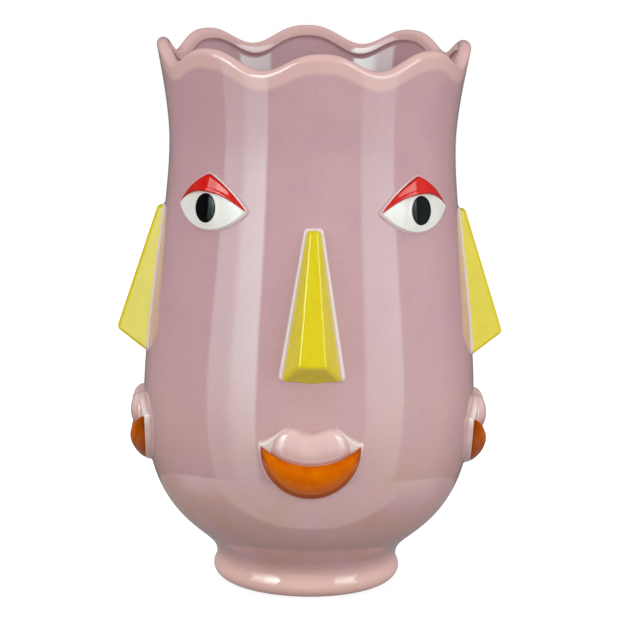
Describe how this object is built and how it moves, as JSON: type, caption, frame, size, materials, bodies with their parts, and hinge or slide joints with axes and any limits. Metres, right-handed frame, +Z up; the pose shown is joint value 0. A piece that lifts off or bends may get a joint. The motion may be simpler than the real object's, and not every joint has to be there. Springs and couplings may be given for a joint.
{
  "type": "flower pot",
  "caption": "Tall glazed ceramic flower pot with a wavy rim and a stylised relief face on each of its four sides, the faces sharing the eyes between them.",
  "frame": {"origin": "centre of the foot, on the plane that the pot stands on", "axes": "+Z up along the pot's axis, -Y through the front nose, +X through the nose at the viewer's right"},
  "size_m": [0.1962, 0.1962, 0.2779],
  "materials": {
    "mauve_glaze": "glossy",
    "pale_glaze": "glossy",
    "pink_glaze": "glossy",
    "yellow_glaze": "glossy",
    "orange_glaze": "glossy",
    "red_glaze": "glossy",
    "white_glaze": "glossy",
    "black_glaze": "glossy"
  },
  "bodies": {
    "root": {"pot_body": "mauve_glaze", "foot_ring": "pale_glaze", "scalloped_collar": "mauve_glaze", "rim_lip": "pale_glaze", "nose_pad_front": "pale_glaze", "nose_pad_right": "pale_glaze", "nose_pad_back": "pale_glaze", "nose_pad_left": "pale_glaze", "nose_front": "yellow_glaze", "nose_right": "yellow_glaze", "nose_back": "yellow_glaze", "nose_left": "yellow_glaze", "mouth_pad_front": "pale_glaze", "mouth_pad_right": "pale_glaze", "mouth_pad_back": "pale_glaze", "mouth_pad_left": "pale_glaze", "upper_lip_front": "pink_glaze", "upper_lip_right": "pink_glaze", "upper_lip_back": "pink_glaze", "upper_lip_left": "pink_glaze", "lower_lip_front": "orange_glaze", "lower_lip_right": "orange_glaze", "lower_lip_back": "orange_glaze", "lower_lip_left": "orange_glaze", "eye_pad_front_right": "pale_glaze", "eye_pad_back_right": "pale_glaze", "eye_pad_back_left": "pale_glaze", "eye_pad_front_left": "pale_glaze", "eyeball_front_right": "white_glaze", "eyeball_back_right": "white_glaze", "eyeball_back_left": "white_glaze", "eyeball_front_left": "white_glaze", "pupil_front_right": "black_glaze", "pupil_back_right": "black_glaze", "pupil_back_left": "black_glaze", "pupil_front_left": "black_glaze", "eyelid_front_right": "red_glaze", "eyelid_back_right": "red_glaze", "eyelid_back_left": "red_glaze", "eyelid_front_left": "red_glaze"}
  },
  "joints": []
}
